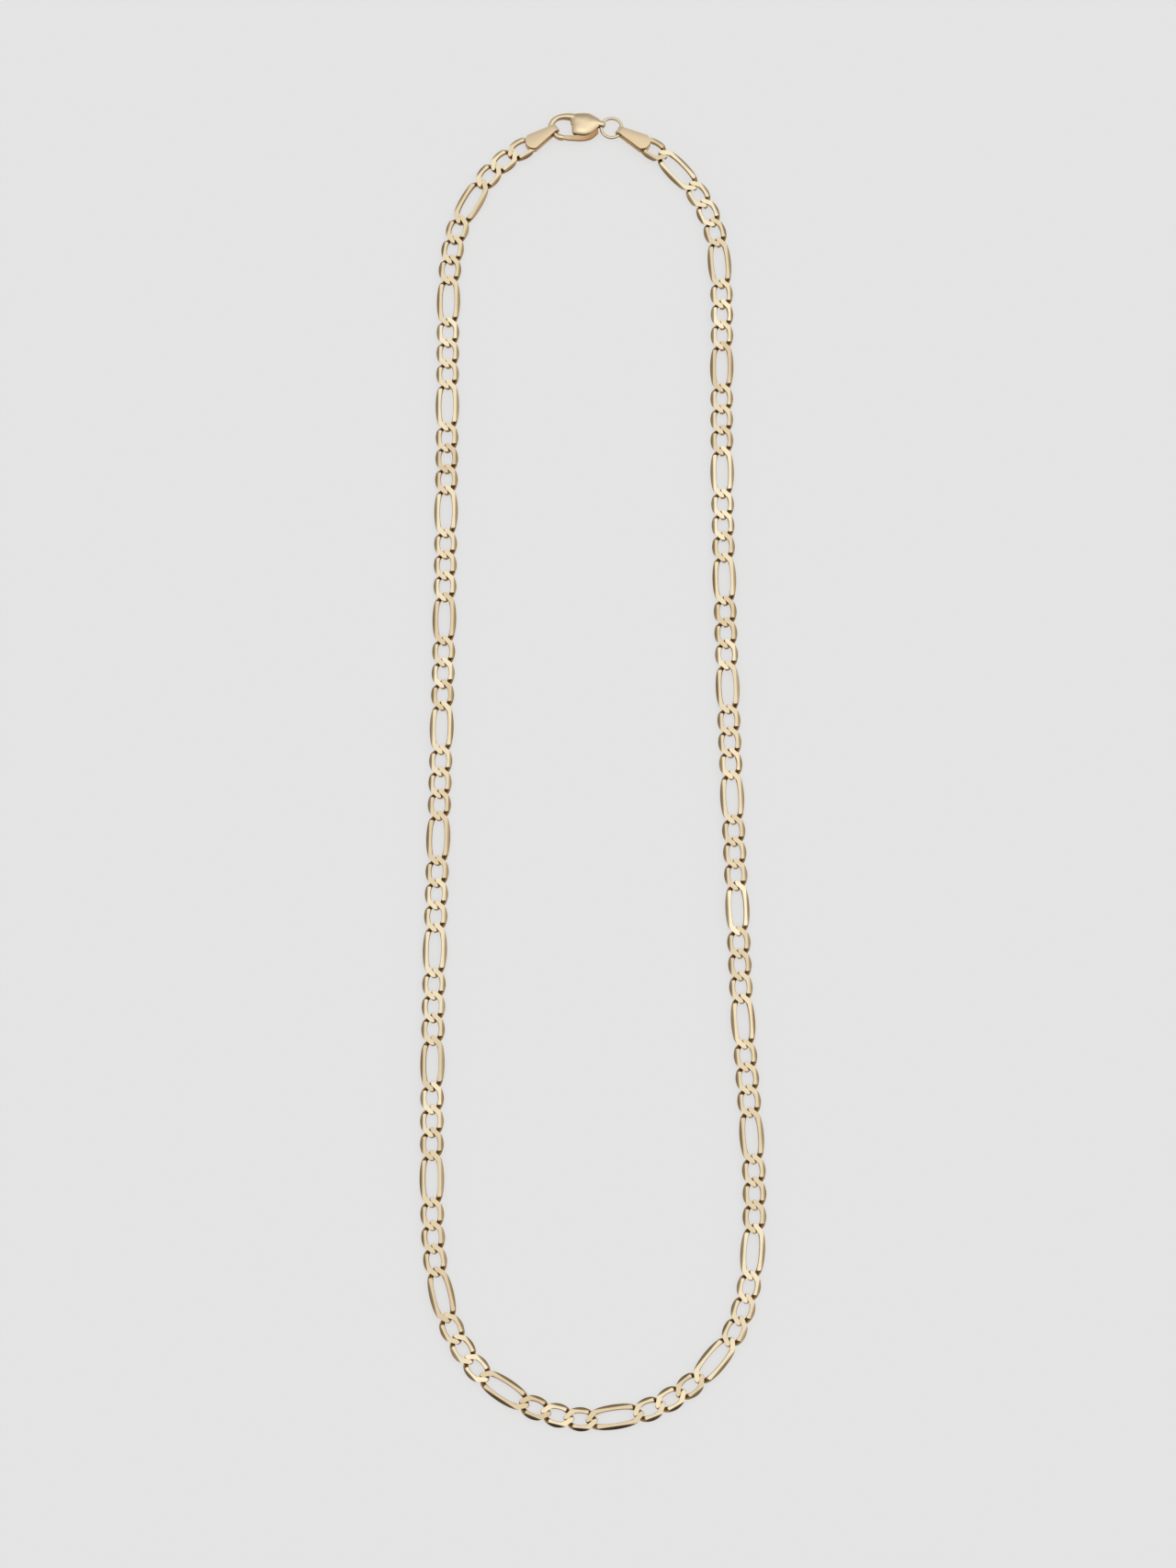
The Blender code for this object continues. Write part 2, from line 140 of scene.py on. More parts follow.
light_by_height = [(0.0, 0.66), (0.35, 0.66), (0.70, 0.80), (0.92, 1.10), (1.0, 0.96)]
light_in_front = 0.14
light_behind = 0.60
light_gain_east = 0.25
cloud_scale = 7.0
cloud_base = 0.78
cloud_gain = 0.44
lamp_way = (-0.03, -0.14, 0.99)
lamp_light = 0.60
room_seen = 0.776
paper_glow = 0.630

room = bpy.data.worlds.new("room")
bpy.context.scene.world = room
room.use_nodes = True
room_tree = room.node_tree
ray = Socket(room_tree).node("ShaderNodeTexCoord", {}, {}, "Generated")
ray_east = ray.node("ShaderNodeSeparateXYZ", {}, {0: ray}, "X")
ray_north = ray.node("ShaderNodeSeparateXYZ", {}, {0: ray}, "Y")
ray_up = ray.node("ShaderNodeSeparateXYZ", {}, {0: ray}, "Z")
height_stops = [(height, (light, light, light)) for height, light in light_by_height]
by_height = ray.node("ShaderNodeValToRGB", {"stops": height_stops}, {0: ray_up})
front = eased(ray_north, -0.92, -0.32, light_in_front, 1.0)
back = eased(ray_north, 0.28, 0.85, 1.0, light_behind)
clouds = ray.node("ShaderNodeTexNoise", {}, {"Vector": ray, "Scale": cloud_scale, "Detail": 1.0}, "Fac")
walls = by_height * front * back * (1.0 + ray_east * light_gain_east) * (cloud_base + clouds * cloud_gain)
lamp_share = ray.node("ShaderNodeVectorMath", {"operation": "DOT_PRODUCT"}, {0: ray, 1: lamp_way}, "Value")
lamp = eased(lamp_share, 0.968, 0.998, 0.0, lamp_light)
seen = ray.node("ShaderNodeLightPath", {}, {}, "Is Camera Ray")
room_light = (walls + lamp) * (1.0 - seen) + seen * room_seen
background = room_tree.nodes["Background"]
background.inputs["Color"].default_value = (1.0, 1.0, 1.0, 1.0)
room_tree.links.new(room_light.socket, background.inputs["Strength"])

floor = added(bpy.ops.mesh.primitive_plane_add, "paper_floor", size=4.0)
paper = bpy.data.materials.new("paper")
paper.use_nodes = True
paper_surface = paper.node_tree.nodes["Principled BSDF"]
paper_surface.inputs["Base Color"].default_value = (0.20, 0.20, 0.20, 1.0)
paper_surface.inputs["Emission Color"].default_value = (1.0, 0.995, 0.995, 1.0)
paper_surface.inputs["Emission Strength"].default_value = paper_glow
paper_surface.inputs["Roughness"].default_value = 0.9
paper_surface.inputs["Specular IOR Level"].default_value = 0.1
floor.data.materials.append(paper)


# Clasp body: a lobster clasp, cast in one piece in yellow gold and polished. It has a domed back, a hook of
# round bar and a tail that tapers to an eye, drilled across for the jump ring. A slot for the lever is milled
# into its lower side, between two cheeks.
def only(thing):
    """Selects one object and makes it active."""
    bpy.ops.object.select_all(action="DESELECT")
    thing.select_set(True)
    bpy.context.view_layer.objects.active = thing


def change(thing, kind, **settings):
    """Adds a modifier and applies it."""
    only(thing)
    modifier = thing.modifiers.new(kind.lower(), kind)
    for name, value in settings.items():
        setattr(modifier, name, value)
    bpy.ops.object.modifier_apply(modifier=modifier.name)


def combine(thing, tool, operation="DIFFERENCE"):
    """Cuts a tool out of an object, or joins it on, and removes the tool."""
    change(thing, "BOOLEAN", object=tool, operation=operation, solver="EXACT")
    bpy.data.objects.remove(tool, do_unlink=True)


def settle(thing):
    """Puts the object's place into its mesh."""
    only(thing)
    bpy.ops.object.transform_apply(location=True, rotation=True, scale=True)


def smooth(thing, degrees):
    """Shades an object smooth, but for the edges where it turns by more than this."""
    only(thing)
    bpy.ops.object.shade_smooth_by_angle(angle=radians(degrees))


def between(before, first, last, after, share):
    """A point between first and last of a centripetal Catmull-Rom curve."""
    knots = [0.0]
    for one, two in ((before, first), (first, last), (last, after)):
        knots.append(knots[-1] + (two - one).length ** 0.5)
    at = knots[1] + (knots[2] - knots[1]) * share
    corners = [before, first, last, after]
    for level in range(1, 4):
        corners = [
            corners[i] * ((knots[i + level] - at) / (knots[i + level] - knots[i]))
            + corners[i + 1] * ((at - knots[i]) / (knots[i + level] - knots[i]))
            for i in range(len(corners) - 1)
        ]
    return corners[0]


def smooth_line(points, steps, closed=False):
    """A smooth line through points with any number of columns, in so many steps from each to the next."""
    points = [Vector(point) for point in points]
    if closed:
        ends = [points[-1], *points, points[0], points[1]]
    else:
        ends = [points[0] * 2 - points[1], *points, points[-1] * 2 - points[-2]]
    line = []
    for before, first, last, after in zip(ends, ends[1:], ends[2:], ends[3:]):
        for step in range(steps):
            line.append(between(before, first, last, after, step / steps))
    if not closed:
        line.append(points[-1])
    return line


def drawn(name, points, closed, flat=False, **settings):
    """A curve through these points (x, y, radius), made a mesh."""
    bpy.ops.object.select_all(action="DESELECT")
    curve = bpy.data.curves.new(name, "CURVE")
    curve.dimensions = "2D" if flat else "3D"
    for setting, value in settings.items():
        setattr(curve, setting, value)
    spline = curve.splines.new("POLY")
    spline.points.add(len(points) - 1)
    for corner, point in zip(spline.points, points):
        corner.co = (point[0], point[1], 0.0, 1.0)
        corner.radius = point[2]
    spline.use_cyclic_u = closed
    thing = bpy.data.objects.new(name, curve)
    bpy.context.scene.collection.objects.link(thing)
    only(thing)
    bpy.ops.object.convert(target="MESH")
    thing = named(name)
    bpy.ops.object.mode_set(mode="EDIT")
    bpy.ops.mesh.select_all(action="SELECT")
    bpy.ops.mesh.remove_doubles(threshold=0.002 * MM)
    bpy.ops.mesh.normals_make_consistent(inside=False)
    bpy.ops.object.mode_set(mode="OBJECT")
    return thing


def round_bar(name, points):
    """A bar of round wire along points of x, y and radius in mm."""
    line = [(x * MM, y * MM, radius) for x, y, radius in smooth_line(points, 5)]
    return drawn(name, line, False, bevel_depth=MM, bevel_resolution=6, use_fill_caps=True)


def flat_plate(name, outline, thickness):
    """A flat plate, with its outline's x and y in metres."""
    points = [(x, y, 1.0) for x, y in outline]
    return drawn(name, points, True, flat=True, fill_mode="BOTH", extrude=thickness / 2)


def mixed(share, one, two):
    """The colour that lies this share of the way from one to two."""
    one, two = (value if isinstance(value, Socket) else (*value, 1.0) for value in (one, two))
    return share.node("ShaderNodeMix", {"data_type": "RGBA"}, {0: share, 6: one, 7: two}, 2)


def attribute(start, name):
    """The numbers that a mesh carries under this name."""
    return start.node("ShaderNodeAttribute", {"attribute_name": name}, {}, "Fac")


def gold(
    name,
    colour,
    second_colour,
    side_shade_colour,
    roughness,
    grain,
    relief,
    sides=(0.20, 0.72),
    edge_highlight_colour=None,
    tint_and_shade_attribute=None,
    shade_depth_attribute=None,
):
    """Yellow gold. It wanders between two colours in patches, and fine marks of this grain break its polish.
    Its upright sides are painted darker, as painted shade: fully where the upward part of a face's normal is
    below the first number of sides, and not at all above the second. Faces that lean from flat, as on rounded
    edges, may take a painted highlight colour. One attribute may add a tint, and one a depth of painted shade
    that is as dark as the sides.
    """
    patch_scale = 0.45 / MM
    material = bpy.data.materials.new(name)
    material.use_nodes = True
    tree = material.node_tree
    surface = tree.nodes["Principled BSDF"]
    surface.inputs["Metallic"].default_value = 1.0
    place = Socket(tree).node("ShaderNodeTexCoord", {}, {}, "Object")
    wide = place.node("ShaderNodeTexNoise", {}, {"Vector": place, "Scale": patch_scale, "Detail": 2.0}, "Fac")
    fine = place.node("ShaderNodeTexNoise", {}, {"Vector": place, "Scale": grain / MM, "Detail": 3.0}, "Fac")
    share = wide * 0.7 + fine * 0.3
    # The tint attribute shifts the colour towards the second one: a random tone per link on the chain,
    # painted shade on the lever.
    if tint_and_shade_attribute:
        share = share * 0.4 + attribute(place, tint_and_shade_attribute) * 0.8 - 0.1
    shade = mixed(share, colour, second_colour)
    normal = place.node("ShaderNodeNewGeometry", {}, {}, "Normal")
    upward = abs(place.node("ShaderNodeSeparateXYZ", {}, {0: normal}, "Z"))
    # Painted highlight: faces that lean from flat, as on rounded edges and folds, take the edge colour.
    if edge_highlight_colour:
        shade = mixed(eased(upward, 0.90, 0.99, 1.0, 0.0), shade, edge_highlight_colour)
    # Painted shade: faces that point little upwards take the side colour.
    side = eased(upward, sides[0], sides[1], 1.0, 0.0)
    # The depth attribute adds painted shade, as dark as the sides, to low faces between parts.
    if shade_depth_attribute:
        side = side + attribute(place, shade_depth_attribute) * 0.75
    shade = mixed(side, shade, side_shade_colour)
    tree.links.new(shade.socket, surface.inputs["Base Color"])
    rough = roughness[0] + (roughness[1] - roughness[0]) * fine
    tree.links.new(rough.socket, surface.inputs["Roughness"])
    marks = {"Strength": 1.0, "Distance": relief, "Height": fine * 0.6 + wide * 0.4}
    tree.links.new(place.node("ShaderNodeBump", {}, marks, "Normal").socket, surface.inputs["Normal"])
    return material


def dress(piece, material, slot, body, *nodes):
    """Gives a finished piece its material, the body it rides on and the solids it stands for. Its slot is not
    used.
    """
    piece.data.materials.clear()
    piece.data.materials.append(material)
    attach(piece, body)
    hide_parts(*nodes)


loop_width = 53.20
loop_length = 226.00
clasp_middle = Vector((-0.109 * loop_width / 2, 0.9973 * loop_length / 2, 1.00)) * MM
dome_shift = Vector((1.50, 0.65)) * MM
dome_outline = [
    (3.02, 0.20), (2.94, 0.52), (2.56, 0.98), (1.82, 1.50), (1.00, 1.96),
    (0.30, 2.11), (-0.60, 2.10), (-1.60, 2.02), (-2.40, 1.70), (-2.52, 0.90),
    (-2.42, -0.20), (-2.38, -1.20), (-2.18, -1.86), (-1.70, -2.14), (-0.82, -2.38),
    (0.05, -2.42), (0.92, -2.10), (1.68, -1.52), (2.40, -0.86), (2.90, -0.28),
]
dome_height = 1.00 * MM
dome_fullness = 2.35
hook_bar = [
    (0.60, 1.60, 0.80), (-0.90, 2.02, 0.72), (-2.12, 2.09, 0.60), (-2.84, 1.97, 0.53),
    (-3.56, 1.66, 0.51), (-4.12, 1.10, 0.51), (-4.44, 0.35, 0.50), (-4.37, -0.15, 0.50),
    (-4.12, -0.62, 0.50), (-3.74, -1.19, 0.51), (-3.28, -1.62, 0.55), (-2.75, -1.85, 0.57),
    (-2.35, -1.91, 0.50),
]
tail_bar = [(2.60, 0.92, 0.86), (3.30, 0.84, 0.82), (3.95, 0.72, 0.74), (4.48, 0.60, 0.66)]
eye_place = Vector((4.50, 0.60, 0.0)) * MM
eye_radius = 0.70 * MM
eye_turn = radians(-21)
eye_bore = 0.84 * MM
slot_corners = [(-1.60, 0.60), (-1.60, -4.0), (4.10, -4.0), (4.10, -0.15), (3.20, 0.60)]
slot_width = 0.84 * MM
skin_size = 0.065 * MM
drill_length = 4 * MM

body = added(
    bpy.ops.mesh.primitive_uv_sphere_add, "clasp_body_cast", segments=64, ring_count=32, radius=1.0
)
dome_edge = smooth_line(dome_outline, 12, closed=True)
for corner in body.data.vertices:
    x, y, z = corner.co
    angle = atan2(y, x)
    nearest = min(dome_edge, key=lambda point: abs(sin((atan2(point.y, point.x) - angle) / 2)))
    reach = nearest.length * MM
    full = (hypot(x, y) ** dome_fullness + abs(z) ** dome_fullness) ** (1 / dome_fullness)
    corner.co = (dome_shift.x + x / full * reach, dome_shift.y + y / full * reach, z / full * dome_height)
hook = round_bar("hook", hook_bar)
tip_x, tip_y, tip_radius = hook_bar[-1]
tip = added(
    bpy.ops.mesh.primitive_uv_sphere_add,
    "hook_tip",
    segments=24,
    ring_count=12,
    radius=tip_radius * MM,
    location=(tip_x * MM, tip_y * MM, 0),
)
eye = added(
    bpy.ops.mesh.primitive_uv_sphere_add,
    "eye",
    segments=32,
    ring_count=16,
    radius=eye_radius,
    location=eye_place,
)
tail = round_bar("tail", tail_bar)
for other in (hook, tip, tail, eye):
    settle(other)
    combine(body, other, "UNION")
change(body, "REMESH", mode="VOXEL", voxel_size=skin_size)
change(body, "SMOOTH", factor=0.5, iterations=8)
bore_way = Vector((-sin(eye_turn), cos(eye_turn), 0.0))
eye_drill = added(
    bpy.ops.mesh.primitive_cylinder_add,
    "eye_drill",
    vertices=32,
    radius=eye_bore / 2,
    depth=drill_length,
    location=eye_place,
    rotation=Vector((0, 0, 1)).rotation_difference(bore_way).to_euler(),
)
combine(body, eye_drill)
combine(body, flat_plate("slot_cutter", [(x * MM, y * MM) for x, y in slot_corners], slot_width))
body.location = clasp_middle
settle(body)
smooth(body, 35)
# Its side colour is painted shade on the steep faces and rims.
clasp_gold = gold(
    "polished_clasp_gold",
    colour=(0.90, 0.75, 0.51),
    second_colour=(0.80, 0.62, 0.40),
    side_shade_colour=(0.36, 0.22, 0.08),
    roughness=(0.20, 0.32),
    grain=3.0,
    relief=0.004 * MM,
)
dress(body, clasp_gold, "polished_gold", "necklace", "clasp_body")


# Clasp rivet: a short pin of the same gold through the lever and into both cheeks. Its ends are filed flush
# and polished over, so that no head shows, and here they stop inside the cheeks.
def round_edges(thing, width, segments, degrees):
    """Bevels the edges of an object that turn by more than this."""
    change(thing, "BEVEL", width=width, segments=segments, limit_method="ANGLE", angle_limit=radians(degrees))


pivot = Vector((2.85, -0.15, 0.0)) * MM
rivet_diameter = 0.60 * MM
rivet_length = 1.24 * MM
rivet_bevel = 0.10 * MM

rivet = added(
    bpy.ops.mesh.primitive_cylinder_add,
    "clasp_rivet_pin",
    vertices=32,
    radius=rivet_diameter / 2,
    depth=rivet_length,
    location=clasp_middle + pivot,
)
settle(rivet)
round_edges(rivet, rivet_bevel, 4, 60)
smooth(rivet, 30)
dress(rivet, clasp_gold, "polished_gold", "necklace", "clasp_rivet")


# Clasp lever: a flat arm stamped from gold sheet, its edges tumbled round. It turns on the rivet in the
# body's slot, and its long nose closes the hook. Its colour is painted darker than the body's, and darker
# still towards the rivet, as painted shade from the dome that overhangs it.
def write_attribute(mesh, name, values):
    """Gives a mesh one number per corner, for its material to read."""
    mesh.attributes.new(name, "FLOAT", "POINT").data.foreach_set("value", values)


def clamped(value):
    return min(1.0, max(0.0, value))


lever_thickness = 0.68 * MM
lever_bevel = 0.26 * MM
lever_outline = [
    (-4.82, -2.04), (-3.53, -2.23), (-2.04, -2.32), (-0.35, -2.04), (0.72, -1.21), (1.09, -0.70),
    (0.75, 0.21), (0.25, 0.50), (-0.25, 0.50), (-0.65, 0.05), (-1.34, -0.86), (-2.49, -1.35),
    (-3.83, -1.45), (-4.97, -1.48),
]
clearance = 0.05 * MM
lever_shade_at_middle = 0.40
lever_shade_length = 4.4 * MM

lever_line = [(x * MM, y * MM) for x, y in smooth_line(lever_outline, 5, closed=True)]
lever = flat_plate("clasp_lever_arm", lever_line, lever_thickness)
lever_drill = added(
    bpy.ops.mesh.primitive_cylinder_add,
    "lever_drill",
    vertices=32,
    radius=rivet_diameter / 2 + clearance,
    depth=drill_length,
)
combine(lever, lever_drill)
round_edges(lever, lever_bevel, 5, 60)
lever.location = clasp_middle + pivot
settle(lever)
smooth(lever, 35)
# Painted shade: each corner's tint grows towards the rivet, under the dome, and darkens the lever towards its
# second colour.
lever_shades = [
    clamped((corner.co.x - clasp_middle.x) / lever_shade_length + lever_shade_at_middle)
    for corner in lever.data.vertices
]
write_attribute(lever.data, "tint", lever_shades)
# The lever's colours are the gold painted darker as shade under the dome; its second colour is the deepest
# painted shade, and its side colour painted shade on upright faces.
lever_gold = gold(
    "polished_lever_gold",
    colour=(0.80, 0.62, 0.38),
    second_colour=(0.42, 0.21, 0.07),
    side_shade_colour=(0.30, 0.16, 0.06),
    roughness=(0.26, 0.38),
    grain=4.0,
    relief=0.004 * MM,
    sides=(0.30, 0.90),
    tint_and_shade_attribute="tint",
)
dress(lever, lever_gold, "polished_gold", "lever", "clasp_lever")


# Jump ring: round yellow gold wire, bent to a ring through the clasp's eye, closed, and polished by tumbling.
# The fold of the right end tag holds it.
def towards(angle):
    return Vector((cos(angle), sin(angle), 0.0))


ring_wire = 0.55 * MM
ring_outside = 4.20 * MM
ring_radius = (ring_outside - ring_wire) / 2
ring_play = (eye_bore - ring_wire) / 2 - 2 * clearance
ring_middle = clasp_middle + eye_place + towards(eye_turn) * (ring_play + ring_radius)

ring = added(
    bpy.ops.mesh.primitive_torus_add,
    "jump_ring_wire",
    major_segments=96,
    minor_segments=20,
    major_radius=ring_radius,
    minor_radius=ring_wire / 2,
    location=ring_middle,
)
settle(ring)
bpy.ops.object.shade_smooth()
# Its side colour is painted shade on the wire's upright sides.
ring_gold = gold(
    "polished_ring_gold",
    colour=(0.92, 0.78, 0.54),
    second_colour=(0.84, 0.68, 0.44),
    side_shade_colour=(0.36, 0.25, 0.10),
    roughness=(0.12, 0.20),
    grain=3.0,
    relief=0.003 * MM,
)
dress(ring, ring_gold, "polished_gold", "necklace", "jump_ring")


# End tags: a strip of gold sheet, narrow in its middle and round at both ends, folded over the hook or the
# ring so that its ends lie one above the other as a teardrop. A post soldered through both plates holds the
# end link.
tag_reach = 4.95 * MM
tag_end = 0.60 * MM
tag_head = 2.85 / 2 * MM
tag_neck = 1.30 / 2 * MM
tag_plate = 0.30 * MM
tag_gap = 1.30 * MM
tag_room = 0.25 * MM
tag_bevel = 0.13 * MM
post_diameter = 0.60 * MM
head_steps = 32
head_half_turn = pi * 0.44
hook_grip = clasp_middle + Vector((-4.17, -0.57, 0.0)) * MM
hook_bar_radius = 0.52 * MM
left_turn = radians(214)
left_fold = hook_grip + towards(left_turn) * (tag_gap / 2 - hook_bar_radius - tag_room)
ring_grip_turn = radians(-24)
ring_grip = ring_middle + towards(ring_grip_turn) * ring_radius
right_turn = radians(-29.5)
right_fold = ring_grip + towards(right_turn) * (tag_gap / 2 - ring_wire / 2 - tag_room)


def pick(thing, test, mode="VERT"):
    """In edit mode, selects the corners, edges or faces whose own place passes a test."""
    bpy.ops.object.mode_set(mode="EDIT")
    bpy.ops.mesh.select_mode(type=mode)
    bpy.ops.mesh.select_all(action="DESELECT")
    bpy.ops.object.mode_set(mode="OBJECT")
    mesh = thing.data
    if mode == "VERT":
        for corner in mesh.vertices:
            corner.select = test(corner.co)
    elif mode == "EDGE":
        for edge in mesh.edges:
            edge.select = test(mesh.vertices[edge.vertices[0]].co, mesh.vertices[edge.vertices[1]].co)
    else:
        for face in mesh.polygons:
            face.select = test(face.center, face.normal)
    bpy.ops.object.mode_set(mode="EDIT")


def join(thing, other):
    """Makes two objects one, under the first one's name."""
    only(thing)
    other.select_set(True)
    bpy.ops.object.join()


def at_fold(place, normal):
    """Tells the end faces of the plates and of the fold, which meet where x is zero."""
    return abs(place.x) < 0.01 * MM and abs(normal.x) > 0.9


def end_tag(name, fold_place, turn):
    """One tag, its length along X from the fold, then turned and moved to its place."""
    head_middle = tag_reach + tag_end - tag_head
    outline = [(0.0, tag_neck)]
    for step in range(head_steps + 1):
        angle = head_half_turn - 2 * head_half_turn * step / head_steps
        outline.append((head_middle + tag_head * cos(angle), tag_head * sin(angle)))
    outline.append((0.0, -tag_neck))
    level = tag_gap / 2 + tag_plate / 2
    tag = flat_plate(name, outline, tag_plate)
    tag.location.z = level
    settle(tag)
    pick(tag, at_fold, "FACE")
    bpy.ops.mesh.spin(steps=20, angle=pi, center=(0, 0, 0), axis=(0, 1, 0))
    bpy.ops.object.mode_set(mode="OBJECT")
    lower = flat_plate(name + "_lower", outline, tag_plate)
    lower.location.z = -level
    settle(lower)
    join(tag, lower)
    pick(tag, at_fold, "FACE")
    bpy.ops.mesh.delete(type="ONLY_FACE")
    bpy.ops.mesh.select_all(action="SELECT")
    bpy.ops.mesh.remove_doubles(threshold=0.004 * MM)
    bpy.ops.mesh.normals_make_consistent(inside=False)
    bpy.ops.object.mode_set(mode="OBJECT")
    round_edges(tag, tag_bevel, 3, 50)
    post = added(
        bpy.ops.mesh.primitive_cylinder_add,
        name + "_post",
        vertices=24,
        radius=post_diameter / 2,
        depth=tag_gap + tag_plate,
        location=(tag_reach, 0, 0),
    )
    settle(post)
    join(tag, post)
    tag.data.transform(Matrix.Translation(fold_place) @ Matrix.Rotation(turn, 4, "Z"))
    smooth(tag, 35)
    return tag


# The tags' edge colour is a painted highlight on their rounded edges and folds, and their side colour is
# painted shade.
tag_gold = gold(
    "satin_tag_gold",
    colour=(0.83, 0.67, 0.44),
    second_colour=(0.75, 0.59, 0.39),
    side_shade_colour=(0.42, 0.24, 0.09),
    roughness=(0.32, 0.44),
    grain=5.0,
    relief=0.006 * MM,
    sides=(0.15, 0.60),
    edge_highlight_colour=(0.98, 0.90, 0.68),
)
left_tag = end_tag("left_end_tag", left_fold, left_turn)
dress(left_tag, tag_gold, "satin_gold", "necklace", "end_tag_left")
right_tag = end_tag("right_end_tag", right_fold, right_turn)
dress(right_tag, tag_gold, "satin_gold", "necklace", "end_tag_right")


# Chain: figaro links of gold wire, three small and one long by turns. Each is bent to an oval through the
# one before, soldered and twisted. The finished chain is then milled flat above and below and along both
# sides, so that every link has bright flat faces and a slanting face outside each arm.
chain_thickness = 1.00 * MM
link_bite = 0.07 * MM
meeting_gap = 0.15 * MM
small_length = 5.53 * MM
long_length = 9.46 * MM
solid_wire = 0.88 * MM
lift_length = 14.0 * MM
end_play = tag_reach - post_diameter / 2 - clearance
half_width = loop_width / 2 * MM
half_length = loop_length / 2 * MM
route_shares = [
    (-0.549, 0.949), (-0.684, 0.919), (-0.801, 0.877), (-0.891, 0.830), (-0.936, 0.764),
    (-0.944, 0.714), (-0.944, 0.541), (-0.947, 0.369), (-0.951, 0.197), (-0.962, 0.025),
    (-0.977, -0.146), (-0.992, -0.317), (-1.000, -0.489), (-0.996, -0.658), (-0.985, -0.744),
    (-0.936, -0.827), (-0.861, -0.877), (-0.707, -0.934), (-0.538, -0.965), (-0.338, -0.990),
    (-0.071, -1.005), (0.143, -1.002), (0.353, -0.990), (0.594, -0.957), (0.756, -0.919),
    (0.876, -0.877), (0.962, -0.811), (0.989, -0.758), (1.000, -0.672), (0.985, -0.587),
    (0.936, -0.415), (0.910, -0.247), (0.883, -0.075), (0.861, 0.096), (0.846, 0.266),
    (0.838, 0.437), (0.842, 0.606), (0.846, 0.690), (0.835, 0.777), (0.805, 0.827),
    (0.695, 0.888), (0.564, 0.929), (0.474, 0.949),
]
tip_wire = 0.87 * MM
arm_wire = 1.00 * MM
tip_height = 0.74 * MM
arm_height = 1.28 * MM
height_growth = 1.4
wire_fullness = 3.0
tip_squareness = 0.58
shoulder_share = 0.86
twist = radians(64)
twist_share = 0.90
slant_width = 0.42 * MM
slant_ridge = 0.10 * MM
link_bevel = 0.045 * MM
flat_face_area = 0.5 * MM * MM
roll_spread = radians(2.2)
tint_middle = 0.45
tint_spread = 0.32


def oval(share, reach, bow):
    """A point of a quarter of the link's middle line, from tip to mid-arm, and its way out."""
    corners = [(reach, 0.0), (reach, tip_squareness * bow), (reach - shoulder_share * bow, bow), (0.0, bow)]
    corners = [Vector(corner) for corner in corners]
    while len(corners) > 1:
        way = corners[-1] - corners[0]
        corners = [one.lerp(two, share) for one, two in zip(corners, corners[1:])]
    way.normalize()
    return corners[0], Vector((way.y, -way.x))


def figaro_link(name, length, width, flat_half):
    """One link, its length along X: a ring drawn out to an oval, twisted at its bends, then milled."""
    reach = (length - tip_wire) / 2
    bow = (width - arm_wire) / 2
    link = added(
        bpy.ops.mesh.primitive_torus_add,
        name,
        major_segments=56,
        minor_segments=16,
        major_radius=1.0,
        minor_radius=0.5,
    )
    for corner in link.data.vertices:
        x, y, z = corner.co
        share = atan2(abs(y), abs(x)) / (pi / 2)
        place, outwards = oval(share, reach, bow)
        across = hypot(x, y) - 1.0
        full = 2 * (abs(across) ** wire_fullness + abs(z) ** wire_fullness) ** (1 / wire_fullness)
        wire = tip_wire + (arm_wire - tip_wire) * share
        height = tip_height + (arm_height - tip_height) * min(1.0, height_growth * share)
        place = place + outwards * (across / full * wire)
        corner.co = (place.x if x > 0 else -place.x, place.y if y > 0 else -place.y, z / full * height)
    untwisted = reach - twist_share * bow
    for corner in link.data.vertices:
        x, y, z = corner.co
        share = max(0.0, abs(x) - untwisted) / (reach - untwisted)
        turn = -twist * share if x > 0 else twist * share
        corner.co = (x, y * cos(turn) - z * sin(turn), y * sin(turn) + z * cos(turn))
    block = added(bpy.ops.mesh.primitive_cube_add, name + "_block", size=1.0)
    block.scale = (length * 1.2, 2 * (flat_half + slant_width), chain_thickness)
    settle(block)
    pick(block, lambda one, two: abs(one.x - two.x) > length, "EDGE")
    bpy.ops.mesh.bevel(offset=slant_width, affect="EDGES", offset_type="OFFSET")
    for way in (1, -1):
        pick(block, lambda place: abs(place.z) < 0.1 * MM and place.y * way > 0)
        bpy.ops.transform.translate(value=(0.0, way * slant_ridge, 0.0))
    bpy.ops.object.mode_set(mode="OBJECT")
    combine(link, block, "INTERSECT")
    round_edges(link, link_bevel, 1, 32)
    smooth(link, 28)
    for face in link.data.polygons:
        if face.area > flat_face_area:
            face.use_smooth = False
    # Painted shade: corners nearer the link's middle height, down in the crevices between links, get a depth
    # that the material darkens like the sides.
    shade_depths = [clamped(1.0 - abs(corner.co.z) * 2 / chain_thickness) for corner in link.data.vertices]
    write_attribute(link.data, "depth", shade_depths)
    return link


def joint(line, reach, whole):
    """The place of a joint this far along the route. The chain rises to the tags at both ends."""
    share = max(0.0, 1.0 - min(reach, whole - reach) / lift_length)
    rise = share * share * (3.0 - 2.0 * share)
    height = chain_thickness / 2 + (clasp_middle.z - chain_thickness / 2) * rise
    for first, last in zip(line, line[1:]):
        step = (last - first).length
        if reach <= step:
            flat = first.lerp(last, reach / step)
            return Vector((flat.x, flat.y, height))
        reach -= step
    return Vector((line[-1].x, line[-1].y, height))


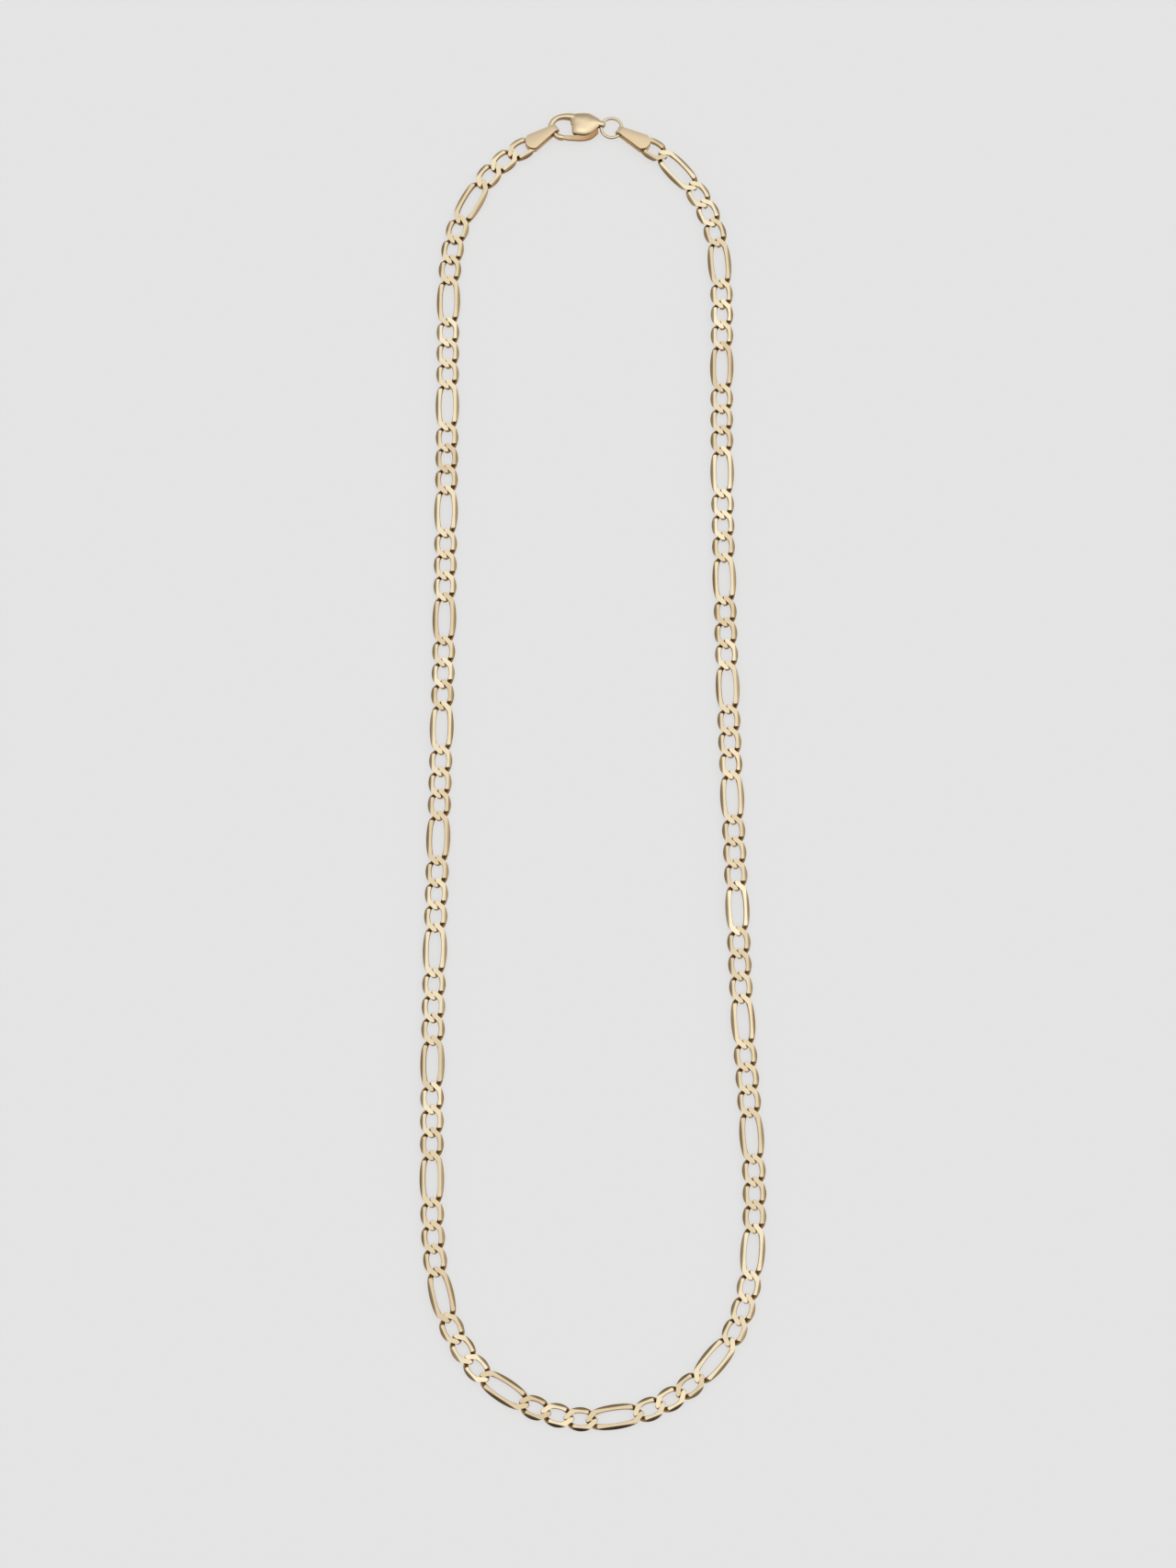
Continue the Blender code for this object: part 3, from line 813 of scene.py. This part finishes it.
def lie_of_links():
    """The kind and place of each link, left half and right half. All links share the length of the route."""
    route = [left_fold + towards(left_turn) * end_play]
    route += [Vector((x * half_width, y * half_length, 0.0)) for x, y in route_shares]
    route.append(right_fold + towards(right_turn) * end_play)
    for corner in route:
        corner.z = 0.0
    line = smooth_line(route, 24)
    whole = sum((last - first).length for first, last in zip(line, line[1:]))
    pitches = {"small": small_length, "long": long_length}
    for kind in pitches:
        pitches[kind] += link_bite - 2 * solid_wire
    kinds = []
    reach = 0.0
    while True:
        kind = "long" if len(kinds) % 4 == 3 else "small"
        if reach + pitches[kind] / 2 > whole:
            break
        kinds.append(kind)
        reach += pitches[kind]
    slack = link_bite + meeting_gap
    stretch = (whole + slack) / reach
    half = (len(kinds) + 1) // 2
    places = []
    reach = 0.0
    for number, kind in enumerate(kinds):
        if number == half:
            reach -= slack
        ends = [joint(line, reach, whole), joint(line, reach + pitches[kind] * stretch, whole)]
        reach += pitches[kind] * stretch
        along = (ends[1] - ends[0]).normalized()
        across = Vector((0, 0, 1)).cross(along).normalized()
        turn = Matrix((along, across, along.cross(across))).transposed().to_4x4()
        middle = (ends[0] + ends[1]) / 2
        middle.z += solid_wire * abs(along.z)
        places.append((kind, middle, turn))
    return places[:half], places[half:]


def strung(name, places):
    """Copies the links to their places, each with its own small roll and tint, and joins them."""
    copies = []
    for kind, middle, turn in places:
        pattern = small_link if kind == "small" else long_link
        mesh = pattern.data.copy()
        roll = chance.gauss(0.0, roll_spread)
        mesh.transform(Matrix.Translation(middle) @ turn @ Matrix.Rotation(roll, 4, "X"))
        low = min(corner.co.z for corner in mesh.vertices)
        if low < 0.0:
            mesh.transform(Matrix.Translation((0.0, 0.0, -low)))
        tint = clamped(chance.gauss(tint_middle, tint_spread))
        write_attribute(mesh, "tint", [tint] * len(mesh.vertices))
        copy = bpy.data.objects.new(f"{name}_link", mesh)
        bpy.context.scene.collection.objects.link(copy)
        copies.append(copy)
    bpy.ops.object.select_all(action="DESELECT")
    for copy in copies:
        copy.select_set(True)
    bpy.context.view_layer.objects.active = copies[0]
    bpy.ops.object.join()
    return named(name)


small_link = figaro_link("small_link", length=5.62 * MM, width=3.92 * MM, flat_half=1.46 * MM)
long_link = figaro_link("long_link", length=9.55 * MM, width=4.06 * MM, flat_half=1.54 * MM)
chance = random.Random(7)
# Its side colour is painted shade on the slanting and upright faces, and the depth attribute adds more of it
# in the crevices between links; the tint attribute is a random tone per link.
cut_gold = gold(
    "cut_chain_gold",
    colour=(0.93, 0.81, 0.57),
    second_colour=(0.68, 0.53, 0.33),
    side_shade_colour=(0.33, 0.20, 0.07),
    roughness=(0.10, 0.20),
    grain=2.5,
    relief=0.003 * MM,
    sides=(0.52, 0.97),
    tint_and_shade_attribute="tint",
    shade_depth_attribute="depth",
)
left_places, right_places = lie_of_links()
left_chain = strung("left_chain_links", left_places)
dress(left_chain, cut_gold, "cut_gold", "necklace", "chain_left")
right_chain = strung("right_chain_links", right_places)
dress(right_chain, cut_gold, "cut_gold", "necklace", "chain_right")
for pattern in (small_link, long_link):
    bpy.data.objects.remove(pattern, do_unlink=True)
